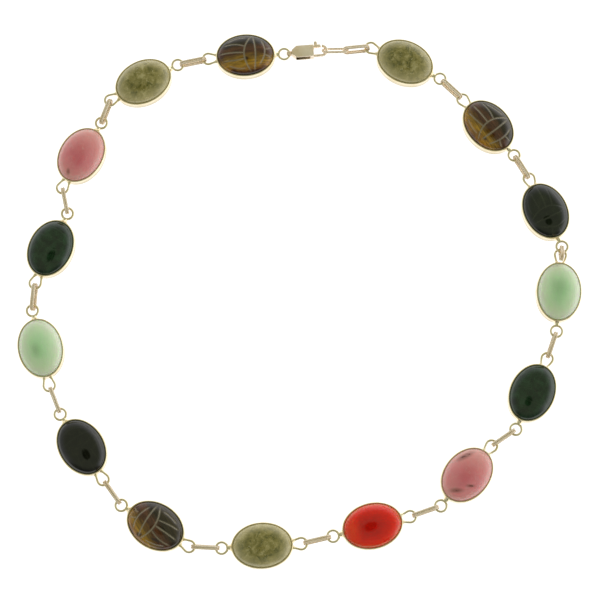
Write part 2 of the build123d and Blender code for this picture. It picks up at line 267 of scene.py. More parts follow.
# Dusty pink, paler at the thin edge as painted light through it, paler to one end, with a few smoky
# brown inclusions
pinkLook = {
    "roughness": 0.10, "cut": ("#d09c96", 0.10), "glow": (0.5, 1.5, (1.0, 0.5, 0.5)),
    "depthNoise": {"Scale": 0.3, "Detail": 4.0, "Roughness": 0.6}, "sway": 0.5,
    "depth": [(0.22, "#ea7c8a"), (0.50, "#f494a0"), (0.90, "#f6a2a8"), (1.0, "#f6b2b2")],
    "veinNoise": {"Scale": 0.9, "Detail": 5.0, "Roughness": 0.7, "Distortion": 0.8},
    "veins": ("#f2b6b2", 0.54, 0.68, 0.5), "fade": ("#f6c0b4", 1.0, -6.0, 0.4),
    "smoke": ("#8a5648", 0.15, 0.85, 0.6), "grains": ("#4a241e", 0.44, 0.56, 0.8),
    "grainNoise": {"Scale": 1.1, "Detail": 4.0, "Roughness": 0.65},
}


def pinkColour(tree, look, at):
    # painted light: the colour pales along stoneRim towards the thin edge
    ground = clouded(tree, at["Space"], look["depthNoise"], look["depth"], look["sway"], at["Rim"])
    veined = mottle(tree, ground, at["Space"], look["veinNoise"], *look["veins"])
    along = addNode(tree, "ShaderNodeSeparateXYZ", None, {"Vector": at["Space"]}).outputs["X"]
    faded = overlay(tree, veined, along, *look["fade"])
    smoked = overlay(tree, faded, at["Spot"], *look["smoke"])
    grain = addNode(tree, "ShaderNodeTexNoise", look["grainNoise"], {"Vector": at["Space"]})
    spotted = addNode(
        tree, "ShaderNodeMath", None, {0: grain, 1: at["Spot"]}, operation="MULTIPLY"
    )
    return overlay(tree, smoked, spotted, *look["grains"])


# Dark green: near black, from olive to blue-green with the at["Tint"], clouded and finely veined
darkGreenLook = {
    "roughness": 0.06, "cut": ("#5a5e4a", 0.5),
    "cloudNoise": {"Scale": 0.5, "Detail": 5.0, "Roughness": 0.6, "Distortion": 0.4},
    "olive": [(0.38, "#0a0b03"), (0.55, "#13140a"), (0.70, "#20200f")],
    "teal": [(0.36, "#0b220f"), (0.52, "#16321a"), (0.70, "#24432a")],
    "veinNoise": {"Scale": 1.4, "Detail": 5.0, "Roughness": 0.75, "Distortion": 1.6},
    "veins": ("#56604a", 0.63, 0.72, 0.4),
}


def darkGreenColour(tree, look, at):
    olive = clouded(tree, at["Space"], look["cloudNoise"], look["olive"])
    teal = clouded(tree, at["Space"], look["cloudNoise"], look["teal"])
    mixed = addNode(
        tree, "ShaderNodeMix", None, {"Factor": at["Tint"], "A": olive, "B": teal}, data_type="RGBA"
    )
    return mottle(tree, mixed.outputs["Result"], at["Space"], look["veinNoise"], *look["veins"])


# Light green: milky, with the light through its thin edge painted as a pale, yellowish edge, and a
# painted dark reflection as a darker patch at the crown
lightGreenLook = {
    "roughness": 0.10, "cut": ("#c4dcb8", 0.10), "glow": (0.6, 2.0, (0.8, 1.0, 0.7)),
    "depthNoise": {"Scale": 0.36, "Detail": 4.0, "Roughness": 0.6}, "sway": 0.45,
    "depth": [(0.20, "#caf2c4"), (0.48, "#dcf6d2"), (0.78, "#e6f5d8"), (1.0, "#eaf4dc")],
    "spots": ("#9cc592", 0.1, 1.0, 0.45),
}
# Carnelian: clear orange red, painted deepest under the crown as shade, paler at the edge as a
# highlight, and more orange at one end as light shining through
carnelianLook = {
    "roughness": 0.08, "cut": ("#e04a28", 0.10), "glow": (0.9, 3.5, (1.0, 0.15, 0.05)),
    "depthNoise": {"Scale": 0.25, "Detail": 2.0}, "sway": 0.25,
    "depth": [(0.15, "#d81000"), (0.55, "#e81c00"), (0.85, "#fa3408"), (1.0, "#ff6434")],
    "spots": ("#ff4a10", 0.1, 0.9, 0.8),
}


# colours from under the crown to the edge, painted darker at the crown and paler at the edge as light
# and shade, with one more painted where the stone's spots lie
def clearColour(tree, look, at):
    ground = clouded(tree, at["Space"], look["depthNoise"], look["depth"], look["sway"], at["Rim"])
    return overlay(tree, ground, at["Spot"], *look["spots"])


gold = goldMaterial("gold_filled", *goldLook["polished"])
satinGold = goldMaterial("gold_filled_satin", *goldLook["satin"])
stoneMaterials = {
    "tigers_eye": stoneMaterial("tigers_eye", tigersEyeColour, tigersEyeLook),
    "jasper": stoneMaterial("jasper", jasperColour, jasperLook),
    "pink": stoneMaterial("rhodonite_pink", pinkColour, pinkLook),
    "dark_green": stoneMaterial("dark_green_chalcedony", darkGreenColour, darkGreenLook),
    "light_green": stoneMaterial("green_aventurine", clearColour, lightGreenLook),
    "carnelian": stoneMaterial("carnelian", clearColour, carnelianLook),
}
print("materials made")


def pointsOf(mesh):
    points = np.empty(len(mesh.vertices) * 3)
    mesh.vertices.foreach_get("co", points)
    return points.reshape(-1, 3)


# corners of a node's triangles, in millimetres
def trianglesOf(node):
    mesh = nodes[node].data
    mesh.calc_loop_triangles()
    corners = np.empty(len(mesh.loop_triangles) * 3, dtype=int)
    mesh.loop_triangles.foreach_get("vertices", corners)
    return pointsOf(mesh)[corners.reshape(-1, 3)] / mm


# a vector along each triangle's outward side, twice as long as its area
def crossesOf(triangles):
    return np.cross(triangles[:, 1] - triangles[:, 0], triangles[:, 2] - triangles[:, 0])


# middle and main directions of a set of triangles, longest first
def mainAxes(triangles):
    area = np.linalg.norm(crossesOf(triangles), axis=1) / 2
    middle = (triangles.mean(axis=1) * area[:, None]).sum(axis=0) / area.sum()
    around = triangles - middle
    total = around.sum(axis=1)
    spread = np.einsum("n,nki,nkj->ij", area, around, around)
    spread += np.einsum("n,ni,nj->ij", area, total, total)
    axes = np.linalg.eigh(spread)[1].T[::-1]
    return middle, axes


# place in metres from a middle in millimetres, +X along and +Z as near up as it can be
def placeMatrix(middle, along, up):
    along = Vector(along).normalized()
    across = Vector(up).cross(along).normalized()
    up = along.cross(across)
    place = Matrix((along, across, up)).transposed().to_4x4()
    place.translation = Vector(middle)
    return Matrix.Scale(mm, 4) @ place


# a stone's flat back gives its place: +X from the ring to the legged loop, +Z up
def stonePlace(stone, setting):
    triangles = trianglesOf(stone)
    cross = crossesOf(triangles)
    facingDown = cross[:, 2] / np.maximum(np.linalg.norm(cross, axis=1), 1e-9) < -0.95
    middle, axes = mainAxes(triangles[facingDown])
    along = axes[0]
    reach = (trianglesOf(setting).reshape(-1, 3) - middle) @ along
    if reach.max() > -reach.min():
        along = -along
    return placeMatrix(middle, along, -cross[facingDown].sum(axis=0))


# mesh object from points in millimetres and faces by number
def meshFrom(name, points, faces):
    mesh = bpy.data.meshes.new(name)
    mesh.from_pydata([tuple(p) for p in points], [], [tuple(f) for f in faces])
    mesh.update()
    return mesh


# a new object in the scene
def newObject(name, data):
    item = bpy.data.objects.new(name, data)
    bpy.context.scene.collection.objects.link(item)
    return item


# finished piece: mesh moved to its place in metres, one material, riding on its body
def addPiece(name, mesh, place, material, body, replaced, sharp=40, tarnishAndShade=None):
    # the brown of painted shade and a little tarnish, kept as a point attribute
    if tarnishAndShade:
        layer = mesh.attributes.new("tarnishAndShade", "FLOAT", "POINT")
        layer.data.foreach_set("value", np.clip(tarnishAndShade(*pointsOf(mesh).T), 0, 1))
    mesh.transform(place)
    mesh.materials.clear()
    mesh.materials.append(material)
    mesh.shade_smooth()
    mesh.set_sharp_from_angle(angle=radians(sharp))
    piece = newObject(name, mesh)
    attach(piece, body)
    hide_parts(*replaced)


def joinMeshes(name, meshes):
    shell = bmesh.new()
    for mesh in meshes:
        shell.from_mesh(mesh)
    joined = bpy.data.meshes.new(name)
    shell.to_mesh(joined)
    shell.free()
    return joined


# Carved cabochons, one fine mesh each. The rows are: the stone itself; the mesh, whose cells
# crowd towards the edge; the grooves and their soft shoulders; how far a groove strays, how
# fast it fades at its ends and at the stone's edge, and how much more it shows than it is
# deep; the share of a lean that is taken off, and how far apart the stones' patterns lie.
stoneSizes = {
    "halfLength": 7.1, "halfWidth": 5.25, "edge": 1.5, "dome": 2.75, "flank": 0.99, "bevel": 0.12,
    "cells": 150, "cellsAcross": 112, "crowding": 0.12,
    "cutWidth": 0.18, "cutDepth": 0.12, "softWidth": 0.5, "softDepth": 0.04, "cutSteps": 25,
    "seed": 40, "stray": 0.018, "endFade": 9, "endDepth": 0.25, "edgeFade": 18, "cutShow": 1.5,
    "leanShare": 0.3, "apart": 37.0,
}
# grooves as shares of the half length and half width: start, middle, end, strength
carving = {
    "shoulders": ((-0.24, -0.90), (0.04, -0.02), (-0.14, 0.84), 1.0),
    "neck": ((-0.30, -0.80), (-0.34, 0.00), (-0.29, 0.80), 1.0),
    "brow": ((-0.60, -0.62), (-0.69, -0.04), (-0.50, 0.62), 0.9),
    "leftCheek": ((-0.90, -0.24), (-0.80, -0.20), (-0.70, -0.14), 0.7),
    "rightCheek": ((-0.90, 0.22), (-0.80, 0.17), (-0.70, 0.12), 0.7),
    "wingSeam": ((0.03, 0.01), (0.44, -0.02), (0.88, -0.06), 1.0),
    "leftWing": ((0.01, -0.29), (0.36, -0.42), (0.74, -0.46), 0.8),
    "rightWing": ((0.02, 0.28), (0.38, 0.35), (0.78, 0.33), 0.8),
    "leftLeg": ((-0.06, -0.80), (0.30, -0.74), (0.62, -0.60), 0.7),
    "rightLeg": ((0.02, 0.76), (0.32, 0.71), (0.60, 0.57), 0.7),
}
# material, turn of its bands in degrees, tint, depth of carving, and how far the crown is off
# centre in mm, lengthwise and sideways, as hand-cut stones are
stoneLooks = {
    1: ("tigers_eye", 4, -0.07, 0.8), 2: ("jasper", 0, 0.5, 0.12),
    3: ("pink", 0, 0.25, 0.06), 4: ("dark_green", 20, 1.0, 0.10, (-0.6, 0.2)),
    5: ("light_green", 0, 0.5, 0.05), 6: ("dark_green", 50, 0.0, 0.07, (0.3, 0.5)),
    7: ("tigers_eye", 152, -0.17, 1.0), 8: ("jasper", 40, 0.5, 0.12),
    9: ("carnelian", 0, 0.5, 0.05, (0.3, 1.2)), 10: ("pink", 200, 1.0, 0.06),
    11: ("dark_green", 70, 1.0, 0.08, (-0.5, 0.4)), 12: ("light_green", 30, 0.5, 0.05),
    13: ("dark_green", 10, 0.15, 0.25, (-0.4, -0.3)), 14: ("tigers_eye", -5, -0.12, 1.0),
    15: ("jasper", 80, 0.5, 0.12),
}
# spots, inclusions but painted light on stones 5, 9 and 12: place as shares of the half length and
# width, half length and width in mm, turn
stoneSpots = {
    1: [(-0.02, 0.30, 0.7, 0.5, 0)], 3: [(0.78, -0.06, 0.8, 0.5, 30)], 5: [(0.1, -0.2, 1.6, 1.2, 0)],
    7: [(-0.30, -0.72, 0.9, 0.6, 20), (0.30, -0.55, 1.6, 0.4, 10)], 9: [(-0.80, 0.0, 2.2, 3.4, 0)],
    10: [(0.42, 0.62, 2.6, 0.7, -22), (-0.68, -0.08, 1.7, 0.6, -50), (-0.25, -0.45, 1.2, 0.4, -50)],
    12: [(0.10, 0.05, 2.6, 1.9, 0)], 14: [(-0.30, 0.62, 0.6, 0.4, 0)],
}


# distance to a groove's curve and how far along it the nearest point is
def grooveDistance(x, y, start, middle, end):
    share = np.linspace(0, 1, stoneSizes["cutSteps"])[:, None]
    start, middle, end = (np.array(p) for p in (start, middle, end))
    line = start * (1 - share) * (1 - 2 * share) + middle * 4 * share * (1 - share)
    line = line + end * share * (2 * share - 1)
    line = line * (stoneSizes["halfLength"], stoneSizes["halfWidth"])
    best = np.full(x.shape, 1e9)
    where = np.zeros(x.shape)
    for i in range(len(line) - 1):
        step = line[i + 1] - line[i]
        t = ((x - line[i, 0]) * step[0] + (y - line[i, 1]) * step[1]) / (step @ step)
        t = np.clip(t, 0, 1)
        gap = np.hypot(x - line[i, 0] - t * step[0], y - line[i, 1] - t * step[1])
        nearer = gap < best
        best = np.where(nearer, gap, best)
        where = np.where(nearer, (i + t) / (len(line) - 1), where)
    return best, where


# depth of the grooves from 0 to 1, and of their soft shoulders, each groove a little astray
def carvingOn(x, y, chance):
    size = stoneSizes
    cut = np.zeros(x.shape)
    soft = np.zeros(x.shape)
    for start, middle, end, strength in carving.values():
        stray = chance.normal(0, size["stray"], (3, 2))
        gap, where = grooveDistance(x, y, start + stray[0], middle + stray[1], end + stray[2])
        fromEnd = np.minimum(where, 1 - where)
        fade = np.clip(fromEnd * size["endFade"] + size["endDepth"], 0, 1) * strength
        cut = np.maximum(cut, fade * np.exp(-((gap / size["cutWidth"]) ** 2)))
        soft = np.maximum(soft, fade * np.exp(-((gap / size["softWidth"]) ** 2)))
    return cut, soft


# 1 in the middle of each spot, an inclusion but painted light on stones 5, 9 and 12, fading outwards
def spotsOn(points, number):
    spot = np.zeros(len(points))
    for u, v, long, wide, angle in stoneSpots.get(number, []):
        dx = points[:, 0] - u * stoneSizes["halfLength"]
        dy = points[:, 1] - v * stoneSizes["halfWidth"]
        c, d = cos(radians(angle)), sin(radians(angle))
        gap = ((dx * c + dy * d) / long) ** 2 + ((dy * c - dx * d) / wide) ** 2
        spot = np.maximum(spot, np.exp(-gap))
    return spot


def carvedStone(number, turn, tint, depthShare, crown=(0.0, 0.0)):
    size = stoneSizes
    s, t = np.meshgrid(
        np.linspace(-1, 1, size["cells"] + 1), np.linspace(-1, 1, size["cellsAcross"] + 1),
        indexing="ij",
    )
    px = s * np.sqrt(1 - t * t / 2)
    py = t * np.sqrt(1 - s * s / 2)
    near = np.hypot(px, py)
    spread = 1 + size["crowding"] * (1 - near * near)
    px = px * spread
    py = py * spread
    near = np.minimum(np.hypot(px, py), 1.0)
    x = px * size["halfLength"]
    y = py * size["halfWidth"]
    foot = np.sqrt(1 - size["flank"] ** 2)
    rise = (np.sqrt(1 - (size["flank"] * near) ** 2) - foot) / (1 - foot)
    z = size["edge"] + size["dome"] * rise
    # the off-centre crown leans the top without moving the edge or passing the dome's height
    lean = (crown[0] * px / size["halfLength"] + crown[1] * py / size["halfWidth"]) * size["dome"]
    z = z + (lean - abs(lean).max() * size["leanShare"]) * (1 - near * near)
    cut, soft = carvingOn(x, y, np.random.default_rng(size["seed"] + number))
    inside = np.clip((1 - near) * size["edgeFade"], 0, 1)
    z = z - inside * depthShare * (size["cutDepth"] * cut + size["softDepth"] * soft)
    rows, cols = x.shape
    points = np.stack([x, y, z], axis=-1).reshape(-1, 3)
    index = np.arange(rows * cols).reshape(rows, cols)
    quads = np.stack([index[:-1, :-1], index[1:, :-1], index[1:, 1:], index[:-1, 1:]], axis=-1)
    faces = quads.reshape(-1, 4).tolist()
    # straight edge, a small bevel and the flat back closed by a fan
    edge = np.concatenate([index[:, 0], index[-1, 1:], index[-2::-1, -1], index[0, -2:0:-1]])
    bevel = size["bevel"]
    low = points[edge] * (1, 1, 0) + (0, 0, bevel)
    flat = points[edge] * (1 - bevel / size["halfLength"], 1 - bevel / size["halfWidth"], 0)
    count = len(edge)
    lowIndex = rows * cols + np.arange(count)
    flatIndex = lowIndex + count
    centre = rows * cols + 2 * count
    points = np.concatenate([points, low, flat, [[0, 0, 0]]])
    for i in range(count):
        j = (i + 1) % count
        faces.append((edge[i], lowIndex[i], lowIndex[j], edge[j]))
        faces.append((lowIndex[i], flatIndex[i], flatIndex[j], lowIndex[j]))
        faces.append((flatIndex[i], centre, flatIndex[j]))
    mesh = meshFrom(f"carved_stone_{number:02d}", points, faces)
    # what the material reads at each point; the side and the back have no grooves
    below = np.zeros(2 * count + 1)
    shown = cut * inside * min(1, depthShare * size["cutShow"])
    turned = radians(turn)
    space = np.stack(
        [
            points[:, 0] * cos(turned) + points[:, 1] * sin(turned),
            points[:, 1] * cos(turned) - points[:, 0] * sin(turned),
            points[:, 2] + size["apart"] * number,
        ],
        axis=-1,
    )
    for name, kind, values in (
        ("stoneSpace", "FLOAT_VECTOR", space),
        ("stoneRim", "FLOAT", np.concatenate([near.reshape(-1) ** 2, below + 1])),
        ("stoneCut", "FLOAT", np.concatenate([shown.reshape(-1), below])),
        ("stoneTint", "FLOAT", np.full(len(points), tint)),
        ("stoneSpot", "FLOAT", spotsOn(points, number)),
    ):
        layer = mesh.attributes.new(name, kind, "POINT")
        key = "vector" if kind == "FLOAT_VECTOR" else "value"
        layer.data.foreach_set(key, values.reshape(-1))
    return mesh


# Bezel: rings of the profile as (inset from the outer wall, height), closed on itself. The
# thin wall rounds over and is burnished down on to the stone
bezelSizes = {"outerLength": 7.5, "outerWidth": 5.65, "ledge": 0.8, "steps": 160, "halvings": 30}
bezelProfile = (
    (0.05, 0.0), (0.0, 0.05), (0.0, 0.5), (0.0, 1.2), (0.0, 2.18), (0.012, 2.30), (0.045, 2.41),
    (0.095, 2.50), (0.15, 2.56), (0.20, 2.59), (0.25, 2.60), (0.30, 2.595), (0.35, 2.575),
    (0.40, 2.545), (0.44, 2.51), (0.465, 2.475), (0.44, 2.42), (0.405, 2.33), (0.385, 2.2),
    (0.38, 0.80), (1.15, 0.80), (1.15, 0.05), (1.11, 0.0),
)
# where the painted shade and tarnish of lip, wall and wire starts, over what distance it grows, and
# its strength
bezelShadeAndTarnish = {
    "lipInset": 0.24, "lipSpan": 0.06, "lipHeight": 2.35, "lip": 0.3, "wallHeight": 2.5,
    "wallSpan": 1.6, "wallDepth": 0.03, "wall": 0.35, "wireAway": 0.3, "wireSpan": 0.5,
    "flankHeight": 1.64, "flankSpan": 0.16, "wireTop": 0.04, "wireFlank": 0.36,
}


# how far a point lies inside the bezel's outer oval, by halving
def bezelInset(x, y):
    low, high = np.full(x.shape, -4.0), np.full(x.shape, 5.0)
    for _ in range(bezelSizes["halvings"]):
        inset = (low + high) / 2
        inside = (x / (bezelSizes["outerLength"] - inset)) ** 2
        inside = inside + (y / (bezelSizes["outerWidth"] - inset)) ** 2 < 1
        low, high = np.where(inside, inset, low), np.where(inside, high, inset)
    return low


# painted shade, with a little tarnish: a dark line on the burnished lip for the shaded gap by the
# stone, darker low on the wall, and on the wire away from its bright solder: a thin tarnish on its
# top, rubbed bright, and painted shade on its flanks below
def bezelShadeAndTarnishOn(x, y, z):
    look = bezelShadeAndTarnish
    inset = bezelInset(x, y)
    lip = np.clip((inset - look["lipInset"]) / look["lipSpan"], 0, 1) * (z > look["lipHeight"])
    low = np.clip((look["wallHeight"] - z) / look["wallSpan"], 0, 1)
    wall = low * (np.abs(inset) < look["wallDepth"])
    flank = np.clip((look["flankHeight"] - z) / look["flankSpan"], 0, 1)
    away = np.clip((-inset - look["wireAway"]) / look["wireSpan"], 0, 1)
    wire = away * (look["wireTop"] + look["wireFlank"] * flank)
    return np.maximum(np.maximum(lip * look["lip"], wall * look["wall"]), wire)


# Ring, legged loop and solder. neck flares from the ring to the bezel, and legCone is the
# solder at a leg's foot as distances along the leg and radii.
wireSizes = {
    "wire": 0.3, "round": 1.4, "ringGap": 0.6, "loopGap": 0.25, "legSpread": 0.8, "sink": 0.22,
    "middle": 1.4, "sides": 14, "ringSteps": 48, "arcSteps": 40,
    "neck": 0.6, "neckFoot": 1.2, "neckStart": 0.04, "neckSteps": 8, "neckFlare": 2.2,
    "neckTip": 0.6, "neckTipLength": 0.05,
    "legCone": [(0.0, 0.62), (0.2, 0.56), (0.4, 0.46), (0.6, 0.36), (0.8, 0.305)],
}


# merges doubled points, closes open ends and turns the faces outwards
def outward(mesh):
    shell = bmesh.new()
    shell.from_mesh(mesh)
    bmesh.ops.remove_doubles(shell, verts=shell.verts, dist=1e-5)
    bmesh.ops.holes_fill(shell, edges=[e for e in shell.edges if e.is_boundary], sides=0)
    bmesh.ops.recalc_face_normals(shell, faces=shell.faces)
    shell.to_mesh(mesh)
    shell.free()
    return mesh


# a shell through rings of points, which runs back to the first ring where it is closed
def loftRings(name, rings, closed):
    rings = np.array(rings)
    count, steps = rings.shape[:2]
    index = np.arange(count * steps).reshape(count, steps)
    following = np.roll(index, -1, axis=0) if closed else index[1:]
    first = index if closed else index[:-1]
    beside = np.roll(first, -1, axis=1)
    besideNext = np.roll(following, -1, axis=1)
    faces = np.stack([first, beside, besideNext, following], axis=-1).reshape(-1, 4)
    return outward(meshFrom(name, rings.reshape(-1, 3), faces.tolist()))


def bezelMesh():
    size = bezelSizes
    turns = np.linspace(0, 2 * pi, size["steps"], endpoint=False)
    rings = []
    for inset, height in bezelProfile:
        long, wide = size["outerLength"] - inset, size["outerWidth"] - inset
        rings.append([(long * cos(a), wide * sin(a), height) for a in turns])
    return loftRings("bezel", rings, True)


# a tree with a geometry, the inputs named and the metal, and its input sockets
def newTree(name, inputs):
    tree = bpy.data.node_groups.new(name, "GeometryNodeTree")
    for socket, kind in (("Geometry", "Geometry"), *inputs, ("metal", "Material")):
        tree.interface.new_socket(socket, in_out="INPUT", socket_type=f"NodeSocket{kind}")
    tree.interface.new_socket("Geometry", in_out="OUTPUT", socket_type="NodeSocketGeometry")
    return tree, addNode(tree, "NodeGroupInput").outputs


# round wire along a curve
def wireOn(tree, given, curve):
    ring = addNode(
        tree, "GeometryNodeCurvePrimitiveCircle", None,
        {"Resolution": given["sides"], "Radius": given["wireRadius"]},
    )
    return addNode(
        tree, "GeometryNodeCurveToMesh", {"Fill Caps": True},
        {"Curve": curve, "Profile Curve": ring},
    )


# a tree's end: real geometry in the metal given
def endTree(tree, given, geometry):
    real = addNode(tree, "GeometryNodeRealizeInstances", None, {"Geometry": geometry})
    coated = addNode(
        tree, "GeometryNodeSetMaterial", None, {"Geometry": real, "Material": given["metal"]}
    )
    addNode(tree, "NodeGroupOutput", None, {"Geometry": coated})
    return tree


# Round wire along any curve
def roundWireTree():
    tree, given = newTree("roundWire", (("wireRadius", "Float"), ("sides", "Int")))
    return endTree(tree, given, wireOn(tree, given, given["Geometry"]))


# Oval link: one rounded oval of wire, set out side by side for a doubled link
def ovalLinkTree():
    tree, given = newTree(
        "ovalLink",
        (
            ("slotLength", "Float"), ("slotHeight", "Float"), ("wireRadius", "Float"),
            ("wires", "Int"), ("pitch", "Float"), ("sides", "Int"),
        ),
    )
    # the oval runs along the middle of the wire, a whole wire longer and higher than its slot
    length, height = (
        addNode(
            tree, "ShaderNodeMath", {1: 2.0}, {0: given["wireRadius"], 2: given[slot]},
            operation="MULTIPLY_ADD",
        )
        for slot in ("slotLength", "slotHeight")
    )
    # just under half the height, so that the two bends of an end don't meet
    bend = addNode(tree, "ShaderNodeMath", {1: 0.499}, {0: height}, operation="MULTIPLY")
    oblong = addNode(
        tree, "GeometryNodeCurvePrimitiveQuadrilateral", None, {"Width": length, "Height": height}
    )
    oval = addNode(
        tree, "GeometryNodeFilletCurve", {"Count": 10},
        {"Curve": oblong, "Radius": bend}, mode="POLY",
    )
    upright = addNode(
        tree, "GeometryNodeTransform", {"Rotation": (pi / 2, 0, 0)}, {"Geometry": oval}
    )
    tube = wireOn(tree, given, upright)
    # a row of wires a pitch apart, which starts half its width back
    spaces = addNode(tree, "ShaderNodeMath", {1: 1.0}, {0: given["wires"]}, operation="SUBTRACT")
    width = addNode(
        tree, "ShaderNodeMath", None, {0: spaces, 1: given["pitch"]}, operation="MULTIPLY"
    )
    back = addNode(tree, "ShaderNodeMath", {1: -0.5}, {0: width}, operation="MULTIPLY")
    start = addNode(tree, "ShaderNodeCombineXYZ", None, {"Y": back})
    step = addNode(tree, "ShaderNodeCombineXYZ", None, {"Y": given["pitch"]})
    row = addNode(
        tree, "GeometryNodeMeshLine", None,
        {"Count": given["wires"], "Start Location": start, "Offset": step},
    )
    laid = addNode(
        tree, "GeometryNodeInstanceOnPoints", None, {"Points": row, "Instance": tube}
    )
    return endTree(tree, given, laid)


# what a tree makes with the values given, as a plain mesh
def grown(tree, name, data, values):
    holder = newObject(name, data)
    modifier = holder.modifiers.new(name, "NODES")
    modifier.node_group = tree
    for item in tree.interface.items_tree:
        if item.in_out == "INPUT" and item.name in values:
            modifier[item.identifier] = values[item.name]
    bpy.context.view_layer.update()
    seen = holder.evaluated_get(bpy.context.evaluated_depsgraph_get())
    mesh = bpy.data.meshes.new_from_object(seen)
    bpy.data.objects.remove(holder)
    return outward(mesh)


roundWire = roundWireTree()
ovalLink = ovalLinkTree()


def wireAlong(name, points, radius, closed, sides, metal):
    curve = bpy.data.curves.new(name, "CURVE")
    curve.dimensions = "3D"
    spline = curve.splines.new("POLY")
    spline.points.add(len(points) - 1)
    for point, at in zip(spline.points, points):
        point.co = (*at, 1.0)
    spline.use_cyclic_u = closed
    return grown(roundWire, name, curve, {"wireRadius": radius, "sides": sides, "metal": metal})


# turned shape about a line through base: profile is (distance along, radius)
def turnedSolder(name, base, direction, profile, sides=20):
    direction = Vector(direction).normalized()
    side = direction.cross(Vector((0, 0, 1))).normalized()
    up = side.cross(direction)
    turns = [2 * pi * k / sides for k in range(sides)]
    rings = []
    for distance, radius in profile:
        centre = Vector(base) + direction * distance
        rings.append([tuple(centre + (side * cos(a) + up * sin(a)) * radius) for a in turns])
    return loftRings(name, rings, False)


def settingMesh():
    size = wireSizes
    outerX = bezelSizes["outerLength"]
    level = size["middle"]
    ringX = -(outerX + size["ringGap"] + size["round"] + size["wire"])
    loopX = outerX + size["loopGap"] + size["round"] + size["wire"]
    turns = np.linspace(0, 2 * pi, size["ringSteps"], endpoint=False)
    ring = [(ringX + size["round"] * cos(a), size["round"] * sin(a), level) for a in turns]
    # the legs leave the loop where a line from their foot touches it
    foot = Vector((outerX - size["sink"], size["legSpread"]))
    reach = Vector((foot.x - loopX, foot.y))
    touchAngle = atan2(reach.y, reach.x) - acos(size["round"] / reach.length)
    turns = np.linspace(touchAngle, -touchAngle, size["arcSteps"])
    arc = [(loopX + size["round"] * cos(a), size["round"] * sin(a), level) for a in turns]
    legs = [(foot.x, foot.y, level)] + arc + [(foot.x, -foot.y, level)]
    parts = [
        bezelMesh(),
        wireAlong("ring", ring, size["wire"], True, size["sides"], gold),
        wireAlong("legs", legs, size["wire"], False, size["sides"], gold),
    ]
    start = ringX + size["round"] + size["neckStart"]
    span = -outerX + size["sink"] - start
    wider = size["neckFoot"] - size["neck"]
    flare = [(-size["neckTipLength"], size["neck"] * size["neckTip"])]
    for k in range(size["neckSteps"] + 1):
        share = k / size["neckSteps"]
        flare.append((span * share, size["neck"] + wider * share ** size["neckFlare"]))
    parts.append(turnedSolder("neck", (start, 0, level), (1, 0, 0), flare))
    for side in (1, -1):
        touch = Vector((arc[0][0], side * arc[0][1], level))
        base = Vector((foot.x, side * foot.y, level))
        parts.append(turnedSolder("foot", base, touch - base, size["legCone"]))
    return joinMeshes("setting", parts)


baseSetting = settingMesh()
for number, (family, *look) in stoneLooks.items():
    stoneNode = f"stone_{number:02d}_{family}"
    settingNode = f"setting_{number:02d}"
    place = stonePlace(stoneNode, settingNode)
    lowered = place @ Matrix.Translation((0, 0, -bezelSizes["ledge"]))
    stone = carvedStone(number, *look)
    addPiece(
        f"carved_{stoneNode}", stone, place, stoneMaterials[family], "necklace",
        [stoneNode],
    )
    addPiece(
        f"gold_{settingNode}", baseSetting.copy(), lowered, gold, "necklace",
        [settingNode], tarnishAndShade=bezelShadeAndTarnishOn,
    )
print("stones and settings made")

linkSizes = {
    "slotLength": 5.95, "slotHeight": 1.5, "wireRadius": 0.26, "wires": 2, "pitch": 0.49,
    "sides": 16,
}
endSizes = {
    "slotLength": 5.75, "slotHeight": 1.9, "wireRadius": 0.3, "wires": 1, "pitch": 0.0,
    "sides": 18,
}
# how wide the painted shade, with a little tarnish, is on a wire's flank and between two wires, and
# over what it grows
linkShadeAndTarnish = {"flank": 0.13, "flankSpan": 0.10, "between": 0.08, "betweenSpan": 0.06, "most": 0.2}


# painted shade with a little tarnish: darker on the wires' outer flanks and in the gap between two
# wires
def linkShadeAndTarnishOn(y, size):
    look = linkShadeAndTarnish
    outside = (size["wires"] - 1) * size["pitch"] / 2 + size["wireRadius"]
    flank = np.clip((np.abs(y) - outside + look["flank"]) / look["flankSpan"], 0, 1)
    between = np.clip((look["between"] - np.abs(y)) / look["betweenSpan"], 0, 1)
    return np.maximum(flank, between * (size["wires"] - 1)) * look["most"]


def linkPiece(node, size):
    middle, axes = mainAxes(trianglesOf(node))
    place = placeMatrix(middle, axes[0], axes[1])
    holder = bpy.data.meshes.new(node)
    mesh = grown(ovalLink, f"gold_{node}", holder, {**size, "metal": satinGold})
    addPiece(
        f"gold_{node}", mesh, place, satinGold, "necklace", [node],
        tarnishAndShade=lambda x, y, z: linkShadeAndTarnishOn(y, size),
    )


for number in range(1, 16):
    linkPiece(f"link_{number:02d}", linkSizes)
linkPiece("end_link", endSizes)
print("links made")

